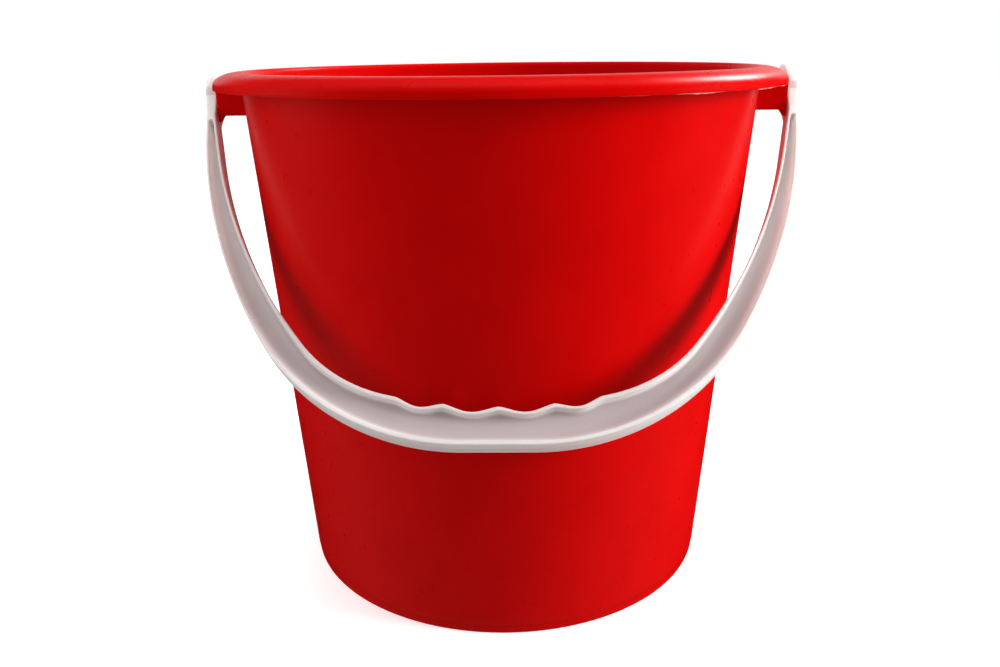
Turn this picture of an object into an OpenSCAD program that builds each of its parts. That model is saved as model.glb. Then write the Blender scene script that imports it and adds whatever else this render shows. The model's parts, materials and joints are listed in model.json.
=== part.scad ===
// Round wash bucket: a one-piece moulded tub and a bail handle that snaps into its two ears.
// Millimetres. +Z up, -Y is the front, the two ears and the handle's pivots lie on the X axis.
// The origin is on the ground, at the centre of the foot ring.

/* [Tub] */
// Height from the ground to the crest of the rim
tub_h = 258; // [200:1:320]
// Outer diameter at the ground
base_d = 219; // [190:1:240]
// Outer diameter of the wall where it meets the crest
neck_d = 255; // [245:1:260]
// Wall thickness
wall_t = 2; // [1.6:0.1:2.6]
// Floor thickness
floor_t = 2.4; // [2:0.1:4]
// Height of the foot ring, which holds the floor off the ground
foot_h = 3; // [2:0.5:6]
// Width of the foot ring
foot_w = 3.2; // [2.5:0.1:5]

/* [Rim] */
// Outer diameter of the rolled rim
rim_d = 280; // [276:1:284]
// Height of the rolled rim, from its crest to the bottom of its lip
rim_h = 7.8; // [6:0.1:10]
// Height of the upright lip round the bottom of the rim
lip_h = 1.8; // [1:0.1:3]
// Thickness of the rim's shell
rim_t = 2; // [1.6:0.1:2.4]

/* [Ears] */
// Width of an ear, front to back
ear_w = 28; // [24:1:36]
// Drop of an ear's outer plate below the crest
ear_drop = 22; // [18:0.1:23]
// How far the plate stands out past the rim
ear_proud = 2; // [1:0.1:4]
// Thickness of the plate and of the two ribs that carry it
ear_t = 2.8; // [2.7:0.1:3.2]
// How far the tip of the front rib reaches below the plate
ear_tip = 2.6; // [1:0.1:3]

/* [Pivot] */
// Drop of the pivot axis below the crest
pivot_drop = 11; // [10.5:0.1:12]
// Diameter of the handle's pivot pins
pin_d = 8; // [6:0.1:9]
// Radial clearance between a pin and its hole
pin_gap = 0.08; // [0.05:0.01:0.1]
// Diameter of the snap head inside an ear
head_d = 10.4; // [9.6:0.1:11]
// Length of the snap head
head_l = 3; // [2:0.1:4]
// Gap between the handle's faces and the ear plate
side_gap = 0.3; // [0.2:0.05:0.5]

/* [Handle] */
// Angle at which the handle rests on the tub, measured forward from hanging straight down
rest_tilt = 44.3; // [44.3:0.1:60]
// Distance from the pivot axis to the outer edge of the grip
reach = 191.3; // [190:0.1:193]
// Width of the handle, across its flanges
handle_w = 11.2; // [10:0.1:11.4]
// Depth of the grip, from its outer edge to the tops of the finger waves
grip_depth = 16.6; // [15:0.1:17]
// Thickness of the flanges
flange_t = 1.5; // [1.2:0.1:1.7]
// Thickness of the web between the flanges
web_t = 2.4; // [2:0.1:4]
// Diameter of the round bosses at the handle's ends
boss_d = 22; // [20:0.5:23]
// Thickness of those bosses
boss_t = 5.6; // [5:0.1:6]

/* [Grip] */
// Width of the two middle finger waves
finger_mid = 23.3; // [22:0.1:24]
// Width of the two end finger waves
finger_end = 20.6; // [19:0.1:22]
// Depth of the finger waves
finger_depth = 2.6; // [1:0.1:3]

/* [Hidden] */
$fn = 128;
eps = 0.01;

// Tub and rim radii
base_r = base_d / 2;
neck_r = neck_d / 2;
rim_r = rim_d / 2;
wall_slope = (neck_r - base_r) / tub_h;
crest_h = 2.6;                       // height of the rounding on the crest's inner side
shoulder_h = rim_h - lip_h;          // height of the rim's curved shoulder

// Ears
plate_out = rim_r + ear_proud;       // outer face of an ear's plate, from the centre
plate_in = plate_out - ear_t;
ear_bottom = tub_h - ear_drop;
ear_top = tub_h - rim_h + lip_h / 2;
rib_bottom = ear_bottom + 0.5;
ear_corner = 1.5;                    // radius of the plate's lower corners
tip_back = 0.3;                      // how far the tip stays behind the plate's outer face

// Pivot
pivot_z = tub_h - pivot_drop;
boss_in = plate_out + side_gap;
boss_out = boss_in + boss_t;
boss_edge = 1.6;                     // rounding of the boss's outer edge
head_in = plate_in - side_gap - head_l;
head_chamfer = 1;
head_room = 0.8;                     // how much wider than the head its pocket is
slot_w = 1.6;                        // slot that lets the snap head spring together

// Outer edge of the handle: a flat, then two arcs that turn it up into the arm
grip_flat = 15;
heel_r = 107.4;
heel_turn = 58.7;
arm_r = 278.7;
arm_turn = 24.6;
flat_end = [grip_flat, -reach];
heel_end = turned(flat_end, 0, heel_r, heel_turn);

// Inner edge: a shallow arc that carries the finger waves, a tight one and the arm's
palm_r = 206.8;
palm_turn = 13.4;
bend_r = 68.1;
bend_turn = 37.9;
throat_r = 268.6;
throat_turn = 24.6;
throat_run = 26;                     // straight run from the end of that arc to the boss
palm_mid = [0, grip_depth - reach];
palm_end = turned(palm_mid, 0, palm_r, palm_turn);
bend_end = turned(palm_end, palm_turn, bend_r, bend_turn);
throat_h = palm_turn + bend_turn + throat_turn;
throat_end = turned(bend_end, palm_turn + bend_turn, throat_r, throat_turn);

// Top of the arm, where it runs into the boss
arm_top = [boss_in + 5, -6];
arm_top_in = [boss_in + 0.4, -6];
recess_top = -24;                    // where the recess in the arm's side starts
arm_steps = 20;
palm_steps = 60;

// ---- helpers ----

// Where a path at point p with heading h (degrees from +X) is after turning left by a
function turned(p, h, r, a) = p + r * [sin(h + a) - sin(h), cos(h) - cos(h + a)];

// Points of such an arc, moved off to the left of the path by off
function rail(p, h, r, a, n, off) =
    [for (i = [1:n]) turned(p, h, r, a * i / n) + off * [-sin(h + a * i / n), cos(h + a * i / n)]];

// Points of a quarter ellipse with centre c and half axes rx and rz
function quarter(c, rx, rz, from, to, n) =
    [for (i = [0:n]) let (a = from + (to - from) * i / n) c + [rx * cos(a), rz * sin(a)]];

function backwards(list) = [for (i = [len(list) - 1:-1:0]) list[i]];

// Depth of the finger waves at arc length s from the middle of the grip
function wave(s) =
    s < finger_mid ? finger_depth * pow(sin(180 * s / finger_mid), 1.5) :
    s < finger_mid + finger_end ? finger_depth * pow(sin(180 * (s - finger_mid) / finger_end), 1.5) : 0;

// Points of the grip's inner edge, moved off towards the pivots and with a share of the wave's depth
function palm(off, share) = [for (i = [0:palm_steps])
    let (a = palm_turn * i / palm_steps, s = palm_r * a * PI / 180, d = off - share * wave(s))
    turned(palm_mid, 0, palm_r, a) + d * [-sin(a), cos(a)]];

function outer_edge(off) = concat(
    [[0, off - reach], flat_end + [0, off]],
    rail(flat_end, 0, heel_r, heel_turn, arm_steps, off),
    rail(heel_end, heel_turn, arm_r, arm_turn, arm_steps, off));

function inner_edge(off, share) = concat(
    palm(off, share),
    rail(palm_end, palm_turn, bend_r, bend_turn, arm_steps, off),
    rail(bend_end, palm_turn + bend_turn, throat_r, throat_turn, arm_steps, off),
    [throat_end + throat_run * [cos(throat_h), sin(throat_h)] + off * [-sin(throat_h), cos(throat_h)]]);

// Both halves of a closed outline, from the half on the +X side
function both_sides(half) =
    concat(half, [for (i = [len(half) - 2:-1:1]) [-half[i][0], half[i][1]]]);

// ---- tub ----

function wall_x(z) = base_r + wall_slope * z;

// Wall, floor, foot ring and rolled rim in one revolved section
module tub_section() {
    lip_z = tub_h - rim_h;
    shoulder = [neck_r, tub_h - shoulder_h];
    polygon(concat(
        [[0, foot_h], [base_r - foot_w, foot_h], [base_r - foot_w, 0], [base_r, 0]],
        [[wall_x(tub_h - rim_t), tub_h - rim_t]],
        backwards(quarter(shoulder, rim_r - neck_r - rim_t, shoulder_h - rim_t, 0, 80, 8)),
        [[rim_r - rim_t, lip_z], [rim_r, lip_z]],
        quarter(shoulder, rim_r - neck_r, shoulder_h, 0, 90, 12),
        quarter([neck_r, tub_h - crest_h], wall_t, crest_h, 105, 180, 6),
        [[wall_x(foot_h + floor_t) - wall_t, foot_h + floor_t], [0, foot_h + floor_t]]));
}

// Outer plate of an ear, seen along X: flat on top, round at its two lower corners
module ear_plate() {
    rotate([90, 0, 90])
        linear_extrude(ear_t)
            union() {
                translate([-ear_w / 2, ear_bottom + ear_corner])
                    square([ear_w, ear_top - ear_bottom - ear_corner]);
                translate([ear_corner - ear_w / 2, ear_bottom])
                    square([ear_w - 2 * ear_corner, ear_corner + eps]);
                for (side = [-1, 1])
                    translate([side * (ear_w / 2 - ear_corner), ear_bottom + ear_corner])
                        circle(ear_corner);
            }
}

// One rib of an ear, from the wall out to the plate
module ear_rib() {
    root = wall_x(rib_bottom) - wall_t / 2;
    rotate([90, 0, 0])
        linear_extrude(ear_t)
            polygon([
                [root - wall_t, rib_bottom], [plate_in + eps, rib_bottom], [plate_in + eps, ear_top],
                [root - wall_t, ear_top]]);
}

// Tip of the front rib, which slopes down and outwards under the plate
module ear_front_tip() {
    out = plate_out - tip_back;
    rotate([90, 0, 0])
        linear_extrude(ear_t)
            polygon([
                [plate_in - 0.6, rib_bottom], [out - 0.8, ear_bottom - ear_tip], [out, ear_bottom - ear_tip],
                [out, rib_bottom + 2], [plate_in - 0.6, rib_bottom + 2]]);
}

module ear() {
    difference() {
        union() {
            translate([plate_in, 0, 0])
                ear_plate();
            translate([0, ear_w / 2, 0])
                ear_rib();
            translate([0, ear_t - ear_w / 2, 0]) {
                ear_rib();
                ear_front_tip();
            }
        }
        // inside of the tub
        cylinder(h = tub_h, r1 = base_r - wall_t / 2, r2 = neck_r - wall_t / 2);
    }
}

// Room for one pivot: the hole through the plate, and a wider pocket behind it for the snap head
module pivot_room() {
    translate([0, 0, pivot_z])
        rotate([0, 90, 0]) {
            translate([0, 0, plate_in - 1])
                cylinder(h = ear_t + 2, d = pin_d + 2 * pin_gap);
            translate([0, 0, head_in - 1])
                cylinder(h = plate_in - head_in + 1, d = head_d + head_room);
        }
}

module tub() {
    color("red")
        difference() {
            union() {
                rotate_extrude()
                    tub_section();
                ear();
                mirror([1, 0, 0])
                    ear();
            }
            pivot_room();
            mirror([1, 0, 0])
                pivot_room();
        }
}

// ---- handle ----

module handle_outline() {
    polygon(both_sides(concat(
        inner_edge(0, 1), [arm_top_in, arm_top], backwards(outer_edge(0)))));
}

// Recess between the flanges, from the top of one arm to the top of the other
module handle_recess() {
    difference() {
        polygon(both_sides(concat(
            inner_edge(-flange_t, 0.8), backwards(outer_edge(flange_t)))));
        translate([-rim_r * 2, recess_top])
            square([rim_r * 4, reach]);
    }
}

// Boss, pin and snap head of the +X end, turned about the pivot axis
module handle_end() {
    pin_r = pin_d / 2;
    head_r = head_d / 2;
    boss_r = boss_d / 2;
    difference() {
        rotate([0, 90, 0])
            rotate_extrude()
                polygon(concat(
                    [[0, head_in], [head_r - head_chamfer, head_in], [head_r, head_in + head_chamfer]],
                    [[head_r, head_in + head_l], [pin_r, head_in + head_l], [pin_r, boss_in]],
                    [[boss_r, boss_in]],
                    quarter([boss_r - boss_edge, boss_out - boss_edge], boss_edge, boss_edge, 0, 90, 6),
                    [[0, boss_out]]));
        translate([head_in - eps, -slot_w / 2, -head_d])
            cube([boss_in - head_in, slot_w, 2 * head_d]);
    }
}

module handle() {
    side_depth = (handle_w - web_t) / 2;
    color("white")
        translate([0, 0, pivot_z])
            rotate([-rest_tilt, 0, 0])
                union() {
                    rotate([90, 0, 0])
                        difference() {
                            translate([0, 0, -handle_w / 2])
                                linear_extrude(handle_w)
                                    handle_outline();
                            translate([0, 0, web_t / 2])
                                linear_extrude(side_depth + eps)
                                    handle_recess();
                            translate([0, 0, -handle_w / 2 - eps])
                                linear_extrude(side_depth + eps)
                                    handle_recess();
                        }
                    handle_end();
                    mirror([1, 0, 0])
                        handle_end();
                }
}

tub();
handle();
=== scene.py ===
"""Looks of the wash bucket: a moulded red tub and a milky white bail handle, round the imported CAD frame.

Metres in Blender, millimetres in the shape functions below. +Z up, -Y is the front, the pivots lie on X.
"""

import math

import bmesh
import bpy
import numpy as np
from mathutils import Matrix, Vector, noise
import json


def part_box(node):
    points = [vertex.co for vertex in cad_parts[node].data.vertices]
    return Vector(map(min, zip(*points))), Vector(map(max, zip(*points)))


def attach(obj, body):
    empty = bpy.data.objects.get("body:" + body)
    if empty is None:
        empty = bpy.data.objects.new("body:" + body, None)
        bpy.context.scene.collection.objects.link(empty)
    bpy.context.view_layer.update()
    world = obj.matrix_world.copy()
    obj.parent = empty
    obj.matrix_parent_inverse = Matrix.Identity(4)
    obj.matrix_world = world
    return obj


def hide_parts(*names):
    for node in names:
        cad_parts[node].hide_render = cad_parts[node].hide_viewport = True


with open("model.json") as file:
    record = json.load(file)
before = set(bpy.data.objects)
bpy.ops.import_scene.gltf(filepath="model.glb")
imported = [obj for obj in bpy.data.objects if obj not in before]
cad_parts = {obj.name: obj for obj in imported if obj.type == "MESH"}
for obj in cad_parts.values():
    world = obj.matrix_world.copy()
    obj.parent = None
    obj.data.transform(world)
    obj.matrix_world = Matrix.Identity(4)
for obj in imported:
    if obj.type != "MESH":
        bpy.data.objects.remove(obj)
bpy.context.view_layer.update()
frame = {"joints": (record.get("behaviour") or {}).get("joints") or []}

MM = 0.001
PIVOT = Vector(frame["joints"][0]["pos_m"]) / MM      # pivot axis, in mm
TUB_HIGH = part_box("tub")[1] / MM

# ---- tub, in mm ----
TUB_H = TUB_HIGH.z
BASE_R = 109.5               # outer radius at the ground
NECK_R = 127.5               # radius of the rim's crest
RIM_R = 140.0
WALL_T = 2.0
FLOOR_T = 2.4
FOOT_H = 3.0
FOOT_W = 3.2
FOOT_LINE = 4.1              # height of the fine moulding line above the ground
FOOT_STEP = 0.22
RIM_H = 7.8
LIP_H = 1.8
RIM_T = 2.0
CREST_H = 2.6
WALL_SLOPE = (NECK_R - BASE_R) / TUB_H
SEGMENTS = 400

# ---- ears, in mm ----
PLATE_OUT = TUB_HIGH.x
PLATE_T = 2.8
PLATE_IN = PLATE_OUT - PLATE_T
EAR_W = 28.0
EAR_BOTTOM = TUB_H - 22.0
EAR_TOP = TUB_H - RIM_H + LIP_H / 2
EAR_TIP = 2.6                # how far the front rib's tip reaches below the plate
RIB_BOTTOM = EAR_BOTTOM + 0.5
EAR_CORNER = 1.5
RIB_FILLET = 2.2
BORE_R = 4.08
POCKET_R = 5.6

# ---- handle, in mm and degrees, in the plane of the handle with the pivots at 0, 0 ----
TILT = 44.3
REACH = 191.3
HALF_W = 5.6
WEB = 1.2                    # half the web's thickness
GRIP_DEPTH = 16.6
GRIP_FLAT = 15.0
HEEL = (107.4, 58.7)         # radius and turn of each arc of the edges
ARM = (278.7, 24.6)
PALM = (206.8, 13.4)
BEND = (68.1, 37.9)
THROAT = (268.6, 24.6)
THROAT_RUN = 24.0
THROAT_END_R = 9.0           # radius of the last turn, which brings the inner edge upright
FINGERS = (23.3, 20.6)       # widths of the middle and the end waves
FINGER_DEPTH = 2.6
FLANGE = (1.25, 1.75)        # flange thickness at the arms and at the grip
RECESS_TOP = 21.8            # distance of the recess's round top from the pivot axis
BOSS_IN = PLATE_OUT + 0.3
BOSS_R = 11.0
PIN_R = 4.0
HEAD_R = 5.2
HEAD_IN = PLATE_IN - 3.3
HEAD_L = 3.0
SLOT_W = 1.6
NECK = ((-21, 146.3), (-15, 147.1), (-10, 147.5), (-5, 147.6), (-2, 147.6))   # height and x of the outer edge
BOSS_T = (3.5, 1.1, 1.0)     # thickness at its top, and what the step and the slope below that add
BOSS_EDGE = 1.7              # rounding of the boss's outer edge

# ---- details of the moulding, in mm and degrees ----
GATE_RISE = 0.35             # height of the ring round the gate
EDGE_R = 0.4                 # rounding of the foot's and the lip's edges
FLOOR_FILLET = 4.0
SHOULDER_STEP = 0.12         # how far the rim's shoulder stands behind its lip
FLASH_PATCHES = ((32, 38), (43, 57), (62, 77), (-76, -69))   # where flash hangs, as angles from the front

# ---- rubbed edge under the lip, paled as wear and as a painted highlight, in metres: where it starts and where it is full ----
WEAR_GLINT_TOP = (0.25045, 0.25010)
WEAR_GLINT_LOW = (0.2485, 0.2490)
WEAR_GLINT_RADIUS = (0.1368, 0.1374)
WEAR_GLINT_RIGHT = (0.04, 0.075)
WEAR_GLINT_FRONT = (0.0, -0.02)

# ---- light and camera, in metres and radians ----
BACK_GLOW = 0.96             # the sky's strength behind the bucket and above it
FRONT_GLOW = 0.40            # and on the camera's side
LOW_GLOW = 0.34              # what the white paper below adds
FLOOR_GLOW = 0.35            # the floor's own light, which keeps it white
FLOOR_HALF = 6.0             # half the floor's width
CAMERA_LENS = 30.966         # focal length in mm, on a sensor 36 mm wide
CAMERA_PLACE = Vector((0.00853, -0.45605, 0.26847))
CAMERA_TURN = 0.0226
CAMERA_PITCH = 0.3233
CAMERA_ROLL = -0.0129


# ---------------------------------------------------------------- helpers
def mesh_object(name, verts, faces):
    """A mesh object from points in mm, with its faces turned outwards."""
    mesh = bpy.data.meshes.new(name)
    mesh.from_pydata([tuple(c * MM for c in v) for v in verts], [], faces)
    bm = bmesh.new()
    bm.from_mesh(mesh)
    bmesh.ops.remove_doubles(bm, verts=bm.verts, dist=1e-7)
    bmesh.ops.recalc_face_normals(bm, faces=bm.faces)
    bm.to_mesh(mesh)
    bm.free()
    obj = bpy.data.objects.new(name, mesh)
    bpy.context.scene.collection.objects.link(obj)
    return obj


def baked(obj):
    """Applies obj's modifiers."""
    graph = bpy.context.evaluated_depsgraph_get()
    mesh = bpy.data.meshes.new_from_object(obj.evaluated_get(graph))
    obj.modifiers.clear()
    obj.data = mesh
    return obj


def combine(obj, other, operation):
    """Joins other to obj, or cuts it out of obj, and removes other."""
    mod = obj.modifiers.new("combine", "BOOLEAN")
    mod.operation = operation
    mod.object = other
    mod.solver = "MANIFOLD"
    baked(obj)
    bpy.data.objects.remove(other)
    return obj


def soften(obj, width, segments=2, angle=40):
    """Rounds the sharp edges of a simple solid by width, in mm."""
    mod = obj.modifiers.new("soften", "BEVEL")
    mod.width = width * MM
    mod.segments = segments
    mod.limit_method = "ANGLE"
    mod.angle_limit = math.radians(angle)
    return baked(obj)


def shade(obj, angle=32):
    """Smooth shading, with edges sharper than angle kept crisp."""
    bm = bmesh.new()
    bm.from_mesh(obj.data)
    for f in bm.faces:
        f.smooth = True
    for e in bm.edges:
        e.smooth = len(e.link_faces) == 2 and e.calc_face_angle() < math.radians(angle)
    bm.to_mesh(obj.data)
    bm.free()
    return obj


def arc(cx, cz, rx, rz, start, end, n):
    """Points of an ellipse's arc, angles in degrees."""
    out = []
    for i in range(n + 1):
        a = math.radians(start + (end - start) * i / n)
        out.append((cx + rx * math.cos(a), cz + rz * math.sin(a)))
    return out


def line(start, end, n):
    """Points of a straight line, without its ends."""
    return [tuple(s + (e - s) * i / n for s, e in zip(start, end)) for i in range(1, n)]


def smoothstep(low, high, x):
    """0 below low, 1 above high, and an S-curve between them."""
    t = min(1.0, max(0.0, (x - low) / (high - low)))
    return t * t * (3 - 2 * t)


# ---------------------------------------------------------------- tub
def wall_r(z):
    """Outer radius of the tapered wall at a height."""
    return BASE_R + WALL_SLOPE * z


def underside():
    """From the axis out to the foot ring, with the gate's dimple and nub in the middle."""
    gate = [(0, FOOT_H - 0.9), (1.3, FOOT_H - 0.9), (1.7, FOOT_H - 0.6), (1.9, FOOT_H + GATE_RISE),
            (6.2, FOOT_H + GATE_RISE), (7.2, FOOT_H), (7.0, FOOT_H + 0.1), (7.6, FOOT_H)]
    inner = BASE_R - FOOT_W
    groove = FOOT_H - 0.25
    ring = line(gate[-1], (inner - 14, FOOT_H), 8)
    ring += [(inner - 14, FOOT_H), (inner - 13.6, groove), (inner - 11.4, groove), (inner - 11, FOOT_H)]
    corner = arc(inner - 1.0, FOOT_H - 1.0, 1.0, 1.0, 90, 0, 4)
    foot = arc(inner + EDGE_R, EDGE_R, EDGE_R, EDGE_R, 180, 270, 3)
    return gate + ring + corner + foot


def outside():
    """Up the outer wall from the ground to the underside of the rim."""
    low = [(r - FOOT_STEP, z) for r, z in arc(BASE_R - 0.75, 0.8, 0.8, 0.8, 270, 355, 6)]
    step = [(wall_r(FOOT_LINE) - FOOT_STEP, FOOT_LINE),
            (wall_r(FOOT_LINE) - 0.3 * FOOT_STEP, FOOT_LINE + 0.12),
            (wall_r(FOOT_LINE + 0.35), FOOT_LINE + 0.35)]
    top_z = TUB_H - RIM_T - 0.9
    wall = line(step[-1], (wall_r(top_z), top_z), 60) + [(wall_r(top_z), top_z)]
    return low + step + wall


def rim():
    """Round the hollow rim: its underside, its lip, its shoulder and its crest."""
    mid_z = TUB_H - RIM_H + LIP_H
    under = arc(NECK_R, mid_z, RIM_R - NECK_R - RIM_T, RIM_H - LIP_H - RIM_T, 78, 0, 10)
    lip_z = TUB_H - RIM_H
    lip = arc(RIM_R - RIM_T + 0.3, lip_z + 0.3, 0.3, 0.3, 180, 270, 3)
    lip += line(lip[-1], (RIM_R - EDGE_R, lip_z), 3)
    lip += arc(RIM_R - EDGE_R, lip_z + EDGE_R, EDGE_R, EDGE_R, 270, 360, 4)
    lip += [(RIM_R, lip_z + 0.9), (RIM_R, mid_z - 0.35), (RIM_R - SHOULDER_STEP, mid_z - SHOULDER_STEP)]
    shoulder = arc(NECK_R, mid_z, RIM_R - NECK_R - SHOULDER_STEP, RIM_H - LIP_H, 4, 90, 26)
    crest = arc(NECK_R, TUB_H - CREST_H, WALL_T, CREST_H, 97, 180, 10)
    return under + lip + shoulder + crest


def inside():
    """Down the inner wall to the middle of the floor."""
    floor = FOOT_H + FLOOR_T
    low = wall_r(floor + FLOOR_FILLET) - WALL_T
    top = (NECK_R - WALL_T, TUB_H - CREST_H)
    wall = line(top, (low, floor + FLOOR_FILLET), 50)
    corner = arc(low - FLOOR_FILLET, floor + FLOOR_FILLET, FLOOR_FILLET, FLOOR_FILLET, 0, -90, 8)
    flat = line(corner[-1], (9, floor + GATE_RISE), 14)
    middle = [(9, floor + GATE_RISE), (8.6, floor + 0.1), (6.4, floor + 0.1), (6.0, floor + GATE_RISE),
              (0, floor + 0.4)]
    return wall + corner + flat + middle


def flash(angle):
    """How far the rough mould flash hangs under the lip at this angle from the front, in mm."""
    degrees = math.degrees(angle)
    patch = max(smoothstep(a, a + 2, degrees) * (1 - smoothstep(b - 2, b, degrees))
                for a, b in FLASH_PATCHES)
    rough = noise.noise(Vector((angle * 95, 0, 3.1))) + 0.5 * noise.noise(Vector((angle * 310, 7.7, 0)))
    return patch * max(0.0, 0.22 + 0.5 * rough)


def tub_shell():
    """The lathe-turned body. The profile runs from the axis, round the outside and back to the axis."""
    profile = underside() + outside() + rim() + inside()
    lip_z = TUB_H - RIM_H
    verts, faces = [(0, 0, profile[0][1])], []
    rings = profile[1:-1]
    for r, z in rings:
        for i in range(SEGMENTS):
            a = 2 * math.pi * i / SEGMENTS
            under_lip = r > RIM_R - 1.2 and lip_z - 1 < z < lip_z + 0.1
            dz = -flash((a + math.pi) % (2 * math.pi) - math.pi) if under_lip else 0
            verts.append((r * math.sin(a), -r * math.cos(a), z + dz))
    verts.append((0, 0, profile[-1][1]))
    last = len(verts) - 1
    for i in range(SEGMENTS):
        j = (i + 1) % SEGMENTS
        faces.append((0, 1 + i, 1 + j))
        for k in range(len(rings) - 1):
            p, q = 1 + k * SEGMENTS, 1 + (k + 1) * SEGMENTS
            faces.append((p + i, q + i, q + j, p + j))
        p = 1 + (len(rings) - 1) * SEGMENTS
        faces.append((p + i, last, p + j))
    return mesh_object("tub_shell", verts, faces)


def tube_faces(rings, n):
    """Faces of a closed tube of rings of n points each, with a flat face at each end."""
    faces = [(k * n + i, k * n + (i + 1) % n, (k + 1) * n + (i + 1) % n, (k + 1) * n + i)
             for k in range(rings - 1) for i in range(n)]
    return faces + [tuple(range(n))[::-1], tuple((rings - 1) * n + i for i in range(n))]


def prism(name, outline, low, high, place):
    """An outline pushed from low to high; place turns (u, v, w) into x, y, z."""
    n = len(outline)
    verts = [place(u, v, low) for u, v in outline] + [place(u, v, high) for u, v in outline]
    faces = [tuple(range(n))[::-1], tuple(range(n, 2 * n))]
    faces += [(i, (i + 1) % n, n + (i + 1) % n, n + i) for i in range(n)]
    return mesh_object(name, verts, faces)


def plate(side):
    """The outer plate of an ear: rounded lower corners, and a flat top that meets the rim's lip."""
    half = EAR_W / 2
    corner = EAR_BOTTOM + EAR_CORNER
    outline = arc(half - EAR_CORNER, corner, EAR_CORNER, EAR_CORNER, 0, -90, 8)
    outline = [(half, EAR_TOP)] + outline
    outline = outline + [(-u, v) for u, v in outline[::-1]]
    obj = prism("plate", outline, PLATE_IN, PLATE_OUT, lambda u, v, w: (side * w, u, v))
    return soften(obj, 0.5, 3)


def rib(side, end):
    """One rib of an ear, from inside the wall to the plate, with a fillet where it leaves the wall."""
    outer = end * EAR_W / 2
    inner = end * (EAR_W / 2 - PLATE_T)
    levels = [RIB_BOTTOM + (EAR_TOP - RIB_BOTTOM) * i / 6 for i in range(7)]
    curve = [math.radians(i * 15) for i in range(7)]
    verts = []
    for z in levels:
        root = math.sqrt(wall_r(z) ** 2 - outer ** 2)
        buried = root - WALL_T / 2
        loop = [(buried, outer + end * RIB_FILLET)]
        loop += [(root + RIB_FILLET * (1 - math.cos(a)), outer + end * RIB_FILLET * (1 - math.sin(a)))
                 for a in curve]
        loop += [(PLATE_IN + 0.4, outer), (PLATE_IN + 0.4, inner)]
        loop += [(root + RIB_FILLET * (1 - math.cos(a)), inner - end * RIB_FILLET * (1 - math.sin(a)))
                 for a in curve[::-1]]
        loop += [(buried, inner - end * RIB_FILLET)]
        verts += [(side * x, y, z) for x, y in loop]
    faces = tube_faces(len(levels), len(loop))
    return mesh_object("rib", verts, faces)


def front_tip(side):
    """The tip of the front rib, which slopes down and outwards under the plate."""
    out = PLATE_OUT - 0.3
    low = EAR_BOTTOM - EAR_TIP
    outline = [(PLATE_IN - 0.6, RIB_BOTTOM + 2), (PLATE_IN - 0.6, RIB_BOTTOM)]
    outline += [(out - 1.0, low + 0.25), (out - 0.6, low), (out - 0.25, low), (out, low + 0.25),
                (out, RIB_BOTTOM + 2)]
    return prism("tip", outline, -EAR_W / 2, PLATE_T - EAR_W / 2, lambda u, v, w: (side * u, w, v))


def cylinder(name, radius, low, high, side, n=72):
    """A solid cylinder on the pivot axis."""
    angles = [2 * math.pi * i / n for i in range(n)]
    outline = [(radius * math.cos(a), PIVOT.z + radius * math.sin(a)) for a in angles]
    return prism(name, outline, low, high, lambda u, v, w: (side * w, u, v))


def make_tub():
    """The whole tub: the turned body with both ears joined on and their pivot holes cut."""
    tub = tub_shell()
    tub.name = "bucket_tub"
    for side in (1, -1):
        combine(tub, plate(side), "UNION")
        for end in (1, -1):
            combine(tub, rib(side, end), "UNION")
        combine(tub, front_tip(side), "UNION")
        combine(tub, cylinder("bore", BORE_R, PLATE_IN - 0.5, PLATE_OUT + 1, side), "DIFFERENCE")
        combine(tub, cylinder("pocket", POCKET_R, HEAD_IN - 1, PLATE_IN, side), "DIFFERENCE")
    return shade(tub)


# ---------------------------------------------------------------- handle
def turned(p, h, r, a):
    """Where a path at p with heading h, in degrees, is after turning left by a on a radius r."""
    h, a = math.radians(h), math.radians(a)
    return (p[0] + r * (math.sin(h + a) - math.sin(h)), p[1] + r * (math.cos(h) - math.cos(h + a)))


def chain(start, arcs, step):
    """Points and headings along arcs that follow each other, and where they end."""
    points, p, h = [(start, 0.0)], start, 0.0
    for r, turn in arcs:
        n = max(2, int(r * math.radians(turn) / step))
        points += [(turned(p, h, r, turn * i / n), h + turn * i / n) for i in range(1, n + 1)]
        p, h = turned(p, h, r, turn), h + turn
    return points, p, h


def spline(knots, y):
    """Smooth curve through (y, x) knots."""
    for i in range(len(knots) - 1):
        (y0, x0), (y1, x1) = knots[i], knots[i + 1]
        if y <= y1 or i == len(knots) - 2:
            before = knots[max(0, i - 1)]
            after = knots[min(len(knots) - 1, i + 2)]
            m0 = (x1 - before[1]) / (y1 - before[0]) * (y1 - y0)
            m1 = (after[1] - x0) / (after[0] - y0) * (y1 - y0)
            t = min(1.0, max(0.0, (y - y0) / (y1 - y0)))
            return ((2 * t ** 3 - 3 * t ** 2 + 1) * x0 + (t ** 3 - 2 * t ** 2 + t) * m0
                    + (3 * t ** 2 - 2 * t ** 3) * x1 + (t ** 3 - t ** 2) * m1)


def outer_path():
    """The outer edge from the middle of the grip to inside the boss, as an array of points."""
    points, end, _ = chain((GRIP_FLAT, -REACH), (HEEL, ARM), 0.5)
    flat = [(x, -REACH) for x in np.arange(-1.0, GRIP_FLAT, 0.5)]
    knots = [(end[1] - 3, end[0] - 0.35), (end[1], end[0]), *NECK]
    neck = [(spline(knots, y), y) for y in np.arange(end[1] + 0.25, -2, 0.25)]
    return np.array(flat + [p for p, _ in points] + neck)


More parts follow.
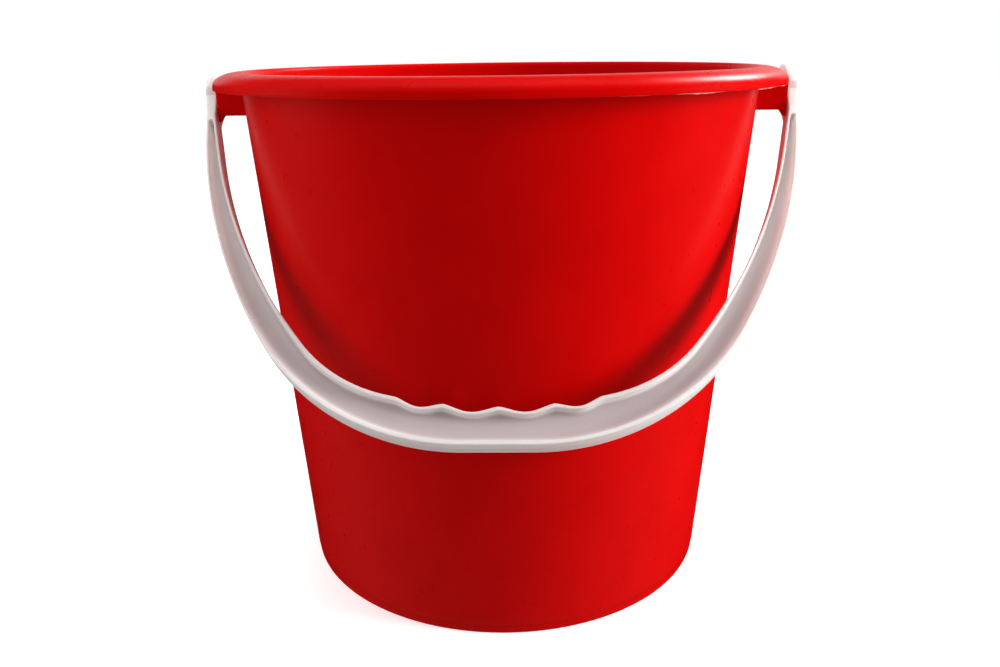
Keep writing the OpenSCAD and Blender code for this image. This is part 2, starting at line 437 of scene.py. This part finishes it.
def inner_path():
    """Stations along the inner edge without its waves: point, heading, length from the grip's middle."""
    coarse, end, heading = chain((0.0, GRIP_DEPTH - REACH), (PALM, BEND, THROAT), 0.8)
    h = math.radians(heading)
    n = 40
    run = [((end[0] + THROAT_RUN * i / n * math.cos(h), end[1] + THROAT_RUN * i / n * math.sin(h)), heading)
           for i in range(1, n + 1)]
    lean, p = 90 - heading, run[-1][0]
    run += [(turned(p, heading, THROAT_END_R, lean * i / 8), heading + lean * i / 8) for i in range(1, 9)]
    p = run[-1][0]
    run += [((p[0], y), 90.0) for y in np.arange(p[1] + 1, -3, 1.0)]
    stations, length = [], 0.0
    last = coarse[0][0]
    for p, heading in coarse + run:
        length += math.dist(p, last)
        stations.append((p, heading, length))
        last = p
    return stations


def wave(s):
    """Depth of the finger waves at a length s from the middle of the grip."""
    middle, outer = FINGERS
    if s < middle:
        return FINGER_DEPTH * math.sin(math.pi * s / middle) ** 1.5
    if s < middle + outer:
        return FINGER_DEPTH * math.sin(math.pi * (s - middle) / outer) ** 1.5
    return 0.0


def hit(path, p, d):
    """Distance from p along d to the path."""
    a, b = path[:-1] - p, path[1:] - p
    sa = a[:, 0] * d[1] - a[:, 1] * d[0]
    sb = b[:, 0] * d[1] - b[:, 1] * d[0]
    cross = np.where(sa * sb <= 0)[0]
    best = 1e9
    for i in cross:
        t = sa[i] / (sa[i] - sb[i]) if sa[i] != sb[i] else 0.0
        q = a[i] + (b[i] - a[i]) * t
        along = q[0] * d[0] + q[1] * d[1]
        if 0 < along < best:
            best = along
    return best


def section(depth, dip, flange, half, from_top):
    """One cross-section of the handle: (a, b) points round it, a from the outer edge towards the pivots.

    depth is the radial depth without the wave, dip the wave's depth there, half the half width and
    from_top the distance below the round top of the recess.
    """
    full = depth - dip
    low, high = flange, depth - flange - 0.8 * dip
    width = high - low
    middle, reach = (low + high) / 2, width / 2
    draft, edge, lip = 0.15, 0.5, 0.3
    far_run, near_run = min(6.0, 0.55 * width), min(1.6, 0.3 * width)
    far_rise, near_rise = min(3.8, 1.1 * far_run), min(1.6, 1.2 * near_run)

    def side_of(inside_by, run, rise):
        """Height of the channel's side at this distance inside its edge; run and rise size its fillet."""
        if inside_by <= -lip:
            return half
        if inside_by <= 0:
            return half - lip + math.sqrt(max(0.0, lip ** 2 - (inside_by + lip) ** 2))
        foot = WEB + rise
        if inside_by <= draft:
            return half - lip + (foot - half + lip) * inside_by / draft
        if inside_by <= draft + run:
            t = 1 - (inside_by - draft) / run
            return foot - rise * math.sqrt(max(0.0, 1 - t * t))
        return WEB

    def height(a):
        end = reach - math.hypot(a - middle, reach - from_top) if from_top < reach else reach
        return max(side_of(min(a - low, end), far_run, far_rise),
                   side_of(min(high - a, end), near_run, near_rise))

    ridge = 0.05
    side = [(-ridge, 0.0), (0.0, 0.14), (0.0, half * 0.5), (0.0, half - edge)]
    side += [(edge - edge * math.cos(a), half - edge + edge * math.sin(a))
             for a in (math.radians(i * 22.5) for i in range(1, 5))]
    steps = [1 - math.cos(math.radians(i * 9)) for i in range(1, 11)]
    far = [low - lip, low - 0.6 * lip, low - 0.2 * lip, low, low + draft]
    far += [low + draft + far_run * t for t in steps]
    near = [high + lip, high + 0.6 * lip, high + 0.2 * lip, high, high - draft]
    near += [high - draft - near_run * t for t in steps[1::2]]
    gap = near[-1] - far[-1]
    across = far + [far[-1] + gap * i / 6 for i in range(1, 6)] + near[::-1]
    top = [(a, height(a)) for a in across]
    upper = side + top + [(full - a, b) for a, b in side[::-1]]
    return upper + [(a, -b) for a, b in upper[-2:0:-1]]


def arm_sweep():
    """Both arms and the grip, as x, distance along the handle's plane and height off it."""
    outer = outer_path()
    stations = inner_path()
    top_y = -RECESS_TOP
    half_rings = []
    # extra stations where the recess ends
    fine = []
    for (p, h, s), (q, k, u) in zip(stations, stations[1:]):
        near = top_y - 4.5 < (p[1] + q[1]) / 2 < top_y + 1.0
        n = 5 if near else 1
        fine += [((p[0] + (q[0] - p[0]) * i / n, p[1] + (q[1] - p[1]) * i / n),
                  h + (k - h) * i / n, s + (u - s) * i / n) for i in range(n)]
    fine.append(stations[-1])
    for p, heading, s in fine:
        h = math.radians(heading)
        d = (math.sin(h), -math.cos(h))
        depth = hit(outer, np.array(p), d)
        grip = 1 - smoothstep(60, 150, s)
        flange = FLANGE[0] + (FLANGE[1] - FLANGE[0]) * grip
        centre_y = p[1] + d[1] * depth / 2
        flare = max(0.0, -centre_y)
        half = HALF_W + 0.1 * max(0.0, 17.5 - flare) ** 1.35
        ring = section(depth, wave(s), flange, half, max(-5.0, top_y - centre_y))
        half_rings.append([(p[0] + d[0] * (depth - a), p[1] + d[1] * (depth - a), b) for a, b in ring])
    rings = [[(-x, y, b) for x, y, b in ring] for ring in half_rings[:0:-1]] + half_rings
    return [v for ring in rings for v in ring], tube_faces(len(rings), len(rings[0]))


def in_plane(x, down, off):
    """A point of the hanging handle's plane, before it is tilted to rest: x, y (off the plane), z."""
    return (x, -off, down)


def boss_height(t, r):
    """Thickness of the boss t below the axis and r from it: thin on top, thickest near the arm."""
    top, step, slope = BOSS_T
    body = top + step * smoothstep(-5.6, -4.5, t) + slope * smoothstep(-4.5, 4.0, t)
    over = max(0.0, r - (BOSS_R - BOSS_EDGE)) * (1 - 0.8 * smoothstep(3.0, 9.0, t))
    return body - (BOSS_EDGE - math.sqrt(max(0.0, BOSS_EDGE ** 2 - over ** 2)))


def boss(side):
    """The boss with its pin and split snap head, turned about the pivot axis."""
    n = 120
    radii = [0.01 + (BOSS_R - BOSS_EDGE) * i / 14 for i in range(15)]
    radii += [BOSS_R - BOSS_EDGE + BOSS_EDGE * math.sin(math.radians(i * 15)) for i in range(1, 7)]
    rings = [(r, None) for r in radii]
    rings += [(BOSS_R, 0.35), (BOSS_R - 0.1, 0.1), (BOSS_R - 0.35, 0.0), (PIN_R + 0.5, 0.0),
              (PIN_R + 0.12, -0.1), (PIN_R, -0.45)]
    neck = HEAD_IN + HEAD_L - BOSS_IN
    front = HEAD_IN - BOSS_IN
    rings += [(PIN_R, neck + 0.1), (PIN_R + 0.1, neck), (HEAD_R - 0.3, neck), (HEAD_R, neck - 0.3),
              (HEAD_R, front + 1.4), (HEAD_R - 0.15, front + 1.0), (HEAD_R - 1.0, front + 0.1),
              (HEAD_R - 1.3, front), (0.01, front)]
    verts = []
    for r, x in rings:
        for i in range(n):
            a = 2 * math.pi * i / n
            t, across = -r * math.cos(a), r * math.sin(a)
            up = boss_height(t, r) if x is None else x
            verts.append(in_plane(side * (BOSS_IN + up), -t, across))
    return mesh_object("boss", verts, tube_faces(len(rings), n))


def make_handle():
    """The whole handle, turned about the pivots to where it rests."""
    verts, faces = arm_sweep()
    handle = mesh_object("bucket_handle", [in_plane(*v) for v in verts], faces)
    for side in (1, -1):
        combine(handle, boss(side), "UNION")
        slot = prism("slot", [(-SLOT_W / 2, -8), (SLOT_W / 2, -8), (SLOT_W / 2, 8), (-SLOT_W / 2, 8)],
                     HEAD_IN - 1, BOSS_IN - 0.3, lambda u, v, w: (side * w, v, u))
        combine(handle, slot, "DIFFERENCE")
    turn = Matrix.Translation(PIVOT * MM) @ Matrix.Rotation(math.radians(-TILT), 4, "X")
    handle.data.transform(turn)
    return shade(handle)


# ---------------------------------------------------------------- materials
class Nodes:
    """A short way to build a node tree."""

    def __init__(self, tree):
        self.tree = tree
        tree.nodes.clear()

    def add(self, kind, links=(), **values):
        node = self.tree.nodes.new(kind)
        for key, value in values.items():
            setattr(node, key, value)
        for socket, value in dict(links).items():
            target = node.inputs[socket]
            if isinstance(value, bpy.types.NodeSocket):
                self.tree.links.new(value, target)
            else:
                target.default_value = value
        return node

    def noise(self, where, scale, detail=4.0, rough=0.55, distort=0.0):
        return self.add("ShaderNodeTexNoise", {"Vector": where, "Scale": scale, "Detail": detail,
                                               "Roughness": rough, "Distortion": distort}).outputs["Fac"]

    def ramp(self, value, low, high, to_low=0.0, to_high=1.0):
        return self.add("ShaderNodeMapRange", {"Value": value, "From Min": low, "From Max": high,
                                               "To Min": to_low, "To Max": to_high}).outputs["Result"]

    def math(self, operation, *values):
        return self.add("ShaderNodeMath", dict(enumerate(values)), operation=operation).outputs["Value"]

    def mix(self, factor, a, b):
        node = self.add("ShaderNodeMix", data_type="RGBA")
        for index, value in ((0, factor), (6, a), (7, b)):
            if isinstance(value, bpy.types.NodeSocket):
                self.tree.links.new(value, node.inputs[index])
            else:
                node.inputs[index].default_value = value
        return node.outputs[2]

    def stretched(self, where, x, y, z):
        return self.add("ShaderNodeMapping", {"Vector": where, "Scale": (x, y, z)}).outputs["Vector"]

    def bump(self, height, distance, strength=1.0, normal=None):
        links = {"Height": height, "Distance": distance, "Strength": strength}
        if normal is not None:
            links["Normal"] = normal
        return self.add("ShaderNodeBump", links).outputs["Normal"]


def red_plastic():
    """Opaque red polypropylene: faint mottling, flow lines round the wall, flash paled as wear and as a
    painted highlight.
    """
    mat = bpy.data.materials.new("red_polypropylene")
    mat.use_nodes = True
    n = Nodes(mat.node_tree)
    where = n.add("ShaderNodeTexCoord").outputs["Object"]
    parts = n.add("ShaderNodeSeparateXYZ", {"Vector": where}).outputs
    mottle = n.noise(where, 38.0, 5.0)
    flow = n.noise(n.stretched(where, 18, 18, 260), 1.0, 4.0, 0.6)
    base = n.mix(n.ramp(mottle, 0.3, 0.7), (0.50, 0.0004, 0.0004, 1), (0.54, 0.0008, 0.0007, 1))
    # flash and rubbed edge under the lip, paled as wear and as a painted highlight on the lit right front
    at_lip = n.math("MULTIPLY", n.ramp(parts["Z"], *WEAR_GLINT_TOP), n.ramp(parts["Z"], *WEAR_GLINT_LOW))
    patches = n.ramp(n.noise(where, 55.0, 3.0), 0.50, 0.60)
    front = n.math("MULTIPLY", n.ramp(parts["X"], *WEAR_GLINT_RIGHT), n.ramp(parts["Y"], *WEAR_GLINT_FRONT))
    square = n.math("ADD", n.math("POWER", parts["X"], 2.0), n.math("POWER", parts["Y"], 2.0))
    radius = n.math("SQRT", square)
    at_lip = n.math("MULTIPLY", at_lip, n.ramp(radius, *WEAR_GLINT_RADIUS))
    wear_and_glint = n.math("MULTIPLY", n.math("MULTIPLY", at_lip, patches), front)
    # pale wear colour, also a painted highlight where the edge catches the light
    base = n.mix(wear_and_glint, base, (0.95, 0.62, 0.56, 1))
    rough = n.ramp(n.noise(where, 160.0, 4.0), 0.3, 0.7, 0.27, 0.35)
    rough = n.math("ADD", rough, n.math("MULTIPLY", wear_and_glint, 0.25))
    normal = n.bump(flow, 0.00004, 0.5)
    normal = n.bump(n.noise(where, 14.0, 2.0), 0.0006, 0.5, normal)
    normal = n.bump(n.noise(where, 2600.0, 2.0), 0.000006, 0.2, normal)
    shader = n.add("ShaderNodeBsdfPrincipled", {
        "Base Color": base, "Roughness": rough, "Normal": normal, "IOR": 1.49, "Specular IOR Level": 0.14,
        "Specular Tint": (1.0, 0.16, 0.13, 1)})
    n.add("ShaderNodeOutputMaterial", {"Surface": shader.outputs["BSDF"]})
    return mat


def white_plastic():
    """Milky white polypropylene: slightly translucent, faint flow marks, painted shade and red bounce on the
    web.
    """
    mat = bpy.data.materials.new("milky_polypropylene")
    mat.use_nodes = True
    n = Nodes(mat.node_tree)
    spot = n.add("ShaderNodeTexCoord").outputs
    where = spot["Object"]
    parts = n.add("ShaderNodeSeparateXYZ", {"Vector": where}).outputs
    rise = n.math("SUBTRACT", parts["Z"], PIVOT.z * MM)
    cos, sin = math.cos(math.radians(TILT)), math.sin(math.radians(TILT))
    off = n.math("SUBTRACT", n.math("MULTIPLY", rise, sin), n.math("MULTIPLY", parts["Y"], cos))
    off = n.math("ABSOLUTE", off)
    down = n.math("ADD", n.math("MULTIPLY", rise, -cos), n.math("MULTIPLY", parts["Y"], -sin))
    across = n.add("ShaderNodeVectorMath", {0: spot["Normal"], 1: (0.0, -cos, sin)},
                   operation="DOT_PRODUCT")
    flat = n.ramp(n.math("ABSOLUTE", across.outputs["Value"]), 0.35, 0.9)
    # painted shade and painted red bounce on the web below the flanges, fading along the arms
    recess_shade = n.math("MULTIPLY", n.ramp(off, 0.0020, 0.0048, 1.0, 0.0), n.ramp(down, 0.020, 0.026))
    recess_shade = n.math("MULTIPLY", n.math("MULTIPLY", recess_shade, flat), n.ramp(down, 0.09, 0.16, 0.45, 1.0))
    cloud = n.noise(where, 45.0, 5.0)
    streak = n.noise(n.stretched(where, 30, 220, 220), 1.0, 4.0, 0.6)
    base = n.mix(n.ramp(cloud, 0.3, 0.7), (0.79, 0.755, 0.735, 1), (0.84, 0.805, 0.785, 1))
    # the painted shade's pinkish grey, which also stands in for the red bounce
    base = n.mix(n.math("MULTIPLY", recess_shade, 0.85), base, (0.52, 0.43, 0.445, 1))
    base = n.mix(n.ramp(streak, 0.55, 0.8, 0.0, 0.35), base, (0.60, 0.56, 0.53, 1))
    rough = n.ramp(n.noise(where, 220.0, 4.0), 0.3, 0.7, 0.30, 0.42)
    normal = n.bump(cloud, 0.00015, 0.5)
    normal = n.bump(n.noise(where, 2400.0, 3.0), 0.00001, 0.5, normal)
    shader = n.add("ShaderNodeBsdfPrincipled", {
        "Base Color": base, "Roughness": rough, "Normal": normal, "IOR": 1.49, "Specular IOR Level": 0.5,
        "Subsurface Weight": 0.4, "Subsurface Scale": 0.005, "Subsurface Radius": (1.0, 0.8, 0.75)})
    n.add("ShaderNodeOutputMaterial", {"Surface": shader.outputs["BSDF"]})
    return mat


def floor_paint():
    """White paper that gives a little light of its own."""
    mat = bpy.data.materials.new("studio_floor")
    mat.use_nodes = True
    n = Nodes(mat.node_tree)
    where = n.add("ShaderNodeTexCoord").outputs["Object"]
    base = n.mix(n.noise(where, 6.0), (0.94, 0.94, 0.94, 1), (0.96, 0.96, 0.96, 1))
    shader = n.add("ShaderNodeBsdfPrincipled", {
        "Base Color": base, "Roughness": 0.9, "Specular IOR Level": 0.1,
        "Emission Color": (1, 1, 1, 1), "Emission Strength": FLOOR_GLOW})
    n.add("ShaderNodeOutputMaterial", {"Surface": shader.outputs["BSDF"]})
    return mat


# ---------------------------------------------------------------- stage
def make_floor():
    """A pale floor, left out of reflections and of bounced light, so it adds no white to the red."""
    corners = [(x * FLOOR_HALF, y * FLOOR_HALF, 0) for x, y in ((-1, -1), (1, -1), (1, 1), (-1, 1))]
    mesh = bpy.data.meshes.new("floor")
    mesh.from_pydata(corners, [], [(0, 1, 2, 3)])
    obj = bpy.data.objects.new("floor", mesh)
    bpy.context.scene.collection.objects.link(obj)
    obj.data.materials.append(floor_paint())
    obj.visible_glossy = False
    obj.visible_diffuse = False


def area_light(name, place, target, size, power):
    """A soft rectangular lamp that faces its target."""
    data = bpy.data.lights.new(name, "AREA")
    data.shape = "RECTANGLE"
    data.size, data.size_y = size
    data.energy = power
    obj = bpy.data.objects.new(name, data)
    bpy.context.scene.collection.objects.link(obj)
    obj.location = place
    obj.rotation_euler = (Vector(target) - Vector(place)).to_track_quat("-Z", "Y").to_euler()
    return obj


def make_lights():
    """A pale sky that is brighter behind the bucket, soft lamps at the sides and above, and a window."""
    world = bpy.data.worlds.new("studio")
    bpy.context.scene.world = world
    world.use_nodes = True
    world.cycles_visibility.glossy = False
    n = Nodes(world.node_tree)
    way = n.add("ShaderNodeSeparateXYZ", {"Vector": n.add("ShaderNodeTexCoord").outputs["Generated"]}).outputs
    side = n.math("ADD", way["Y"], n.math("MULTIPLY", way["Z"], 0.55))
    strength = n.add("ShaderNodeMapRange", {
        "Value": side, "From Min": -0.45, "From Max": 0.75, "To Min": FRONT_GLOW, "To Max": BACK_GLOW},
        interpolation_type="SMOOTHSTEP").outputs["Result"]
    low = n.ramp(way["Z"], 0.05, -0.7, 0.0, LOW_GLOW)
    strength = n.math("ADD", strength, low)
    sky = n.add("ShaderNodeBackground", {"Color": (1, 1, 1, 1), "Strength": strength})
    seen = n.add("ShaderNodeBackground", {"Color": (1, 1, 1, 1), "Strength": 1.0})
    camera_ray = n.add("ShaderNodeLightPath").outputs["Is Camera Ray"]
    both = n.add("ShaderNodeMixShader", {0: camera_ray, 1: sky.outputs[0], 2: seen.outputs[0]})
    n.add("ShaderNodeOutputWorld", {"Surface": both.outputs[0]})
    soft = [area_light("key_right", (1.15, -0.25, 0.45), (0.05, 0, 0.15), (0.5, 0.5), 20),
            area_light("fill_left", (-0.52, -0.14, 0.30), (-0.05, 0, 0.2), (0.3, 0.3), 1.2),
            area_light("overhead", (0.0, 0.1, 1.6), (0, 0, 0.1), (1.0, 0.8), 11)]
    for lamp in soft:
        lamp.visible_glossy = False
    area_light("window_back_right", (0.95, 0.85, 1.10), (0, 0, 0.2), (0.42, 0.42), 14)
    strip = area_light("strip_behind", (0.0, 3.2, 0.9), (0, 0, 0.2), (5.0, 0.9), 10)
    strip.visible_diffuse = False
    strip.visible_camera = False


def make_camera():
    """The camera, a little above the rim and tipped down at the bucket."""
    data = bpy.data.cameras.new("camera")
    data.sensor_width = 36.0
    data.lens = CAMERA_LENS
    cam = bpy.data.objects.new("camera", data)
    bpy.context.scene.collection.objects.link(cam)
    turn = (Matrix.Rotation(CAMERA_TURN, 4, "Z") @ Matrix.Rotation(math.pi / 2 - CAMERA_PITCH, 4, "X")
            @ Matrix.Rotation(CAMERA_ROLL, 4, "Z"))
    cam.matrix_world = Matrix.Translation(CAMERA_PLACE) @ turn
    bpy.context.scene.camera = cam


def add_piece(obj, material, body, node):
    """Paints a piece, hangs it on its body and hides the CAD solid that it stands for."""
    obj.data.materials.clear()
    obj.data.materials.append(material)
    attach(obj, body)
    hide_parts(node)


add_piece(make_tub(), red_plastic(), "tub", "tub")
add_piece(make_handle(), white_plastic(), "handle", "handle")
make_floor()
make_lights()
make_camera()
bpy.context.scene.view_settings.view_transform = "Standard"
